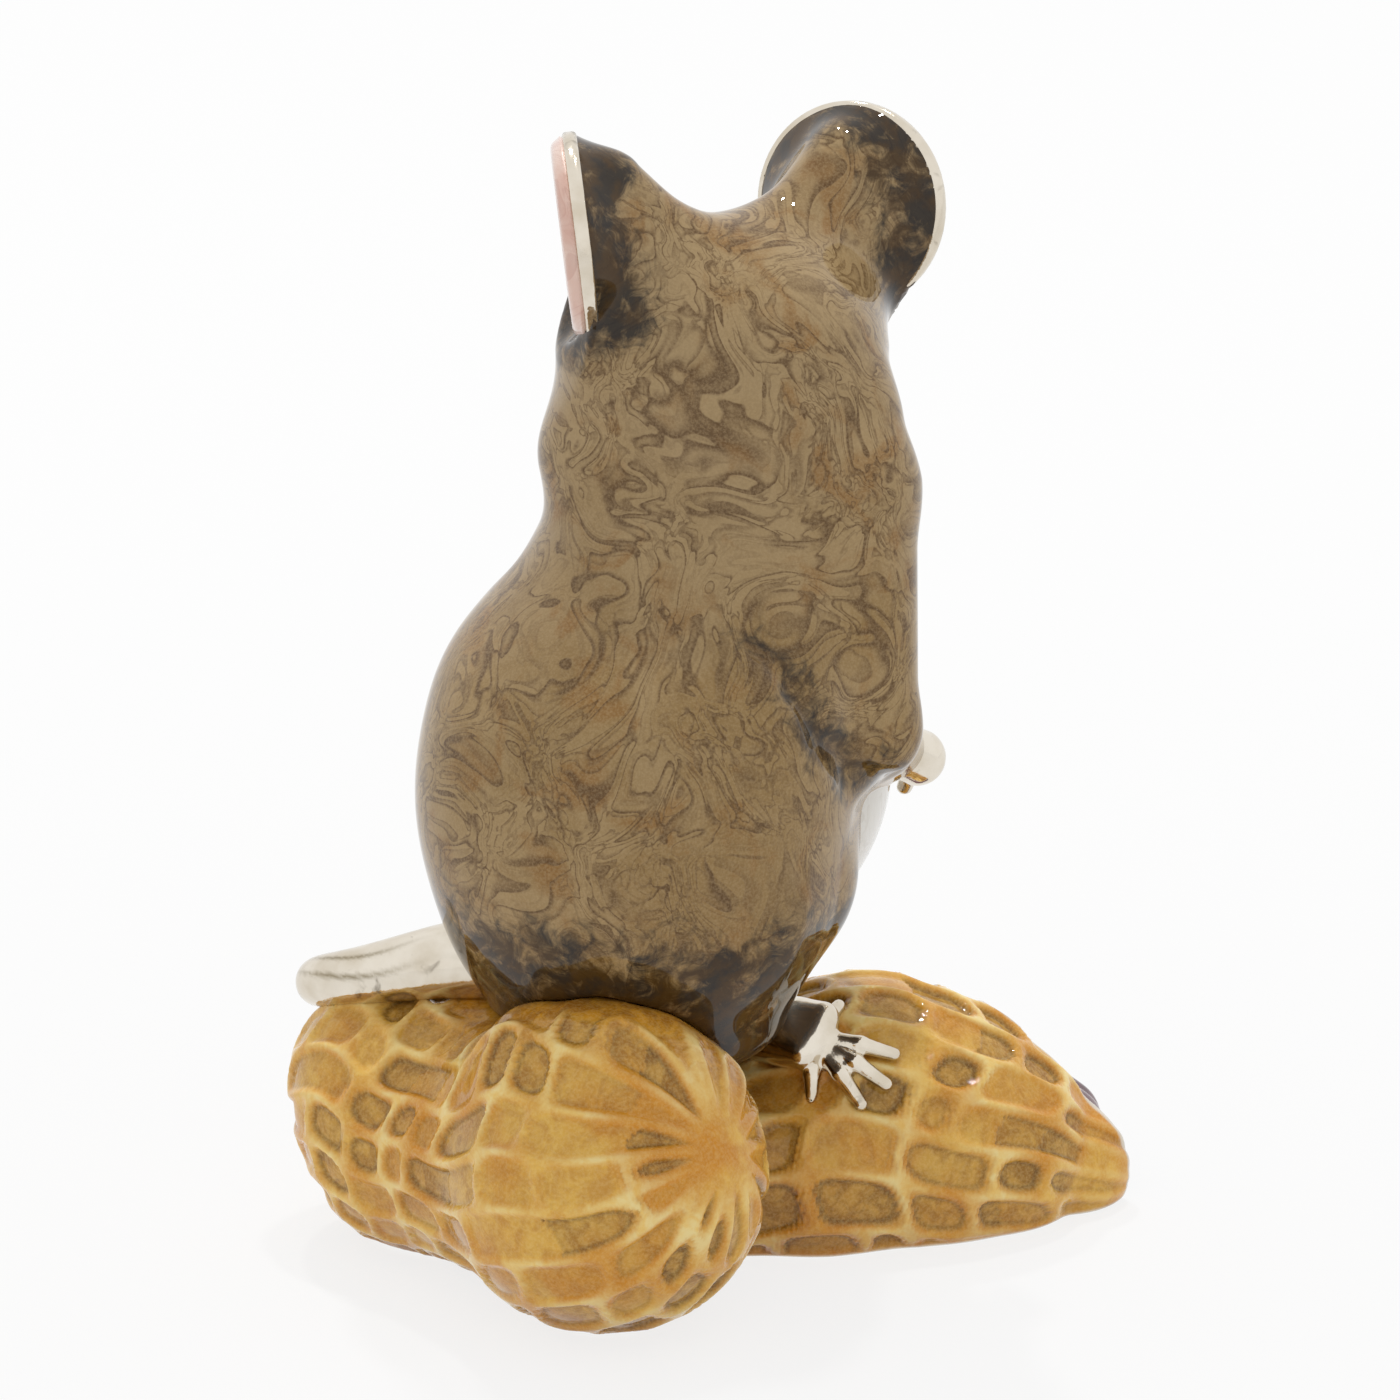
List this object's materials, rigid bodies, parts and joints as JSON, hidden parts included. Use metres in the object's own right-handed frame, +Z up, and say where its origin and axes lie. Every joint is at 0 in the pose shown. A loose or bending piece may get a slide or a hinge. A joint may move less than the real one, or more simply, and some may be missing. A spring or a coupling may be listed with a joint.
{
  "type": "mouse figurine",
  "caption": "Small desk ornament of a sitting mouse on peanuts, enamelled metal with polished paws, tail and ear rims, resting on the flat undersides of the peanuts.",
  "frame": {"origin": "Middle of the bounding box's base, on the surface the peanuts rest on.", "axes": "+Z up, the mouse's chest faces -Y, its left side is +X."},
  "size_m": [0.0299, 0.0381, 0.0572],
  "materials": {
    "brown_enamel": "gloss",
    "white_enamel": "gloss",
    "pink_enamel": "gloss",
    "black_enamel": "gloss",
    "silver": "polished",
    "amber_enamel": "gloss",
    "kernel_enamel": "gloss"
  },
  "bodies": {
    "root": {"torso_casting": "brown_enamel", "head_casting": "brown_enamel", "left_ear": "brown_enamel", "right_ear": "brown_enamel", "belly_enamel": "white_enamel", "left_ear_enamel": "pink_enamel", "right_ear_enamel": "pink_enamel", "left_ear_rim": "silver", "right_ear_rim": "silver", "left_eye": "black_enamel", "right_eye": "black_enamel", "nose": "pink_enamel", "tail": "silver", "left_hind_foot": "silver", "right_hind_foot": "silver", "left_forepaw": "silver", "right_forepaw": "silver", "rear_peanut": "amber_enamel", "front_pod_shell": "amber_enamel", "kernel": "kernel_enamel"}
  },
  "joints": []
}
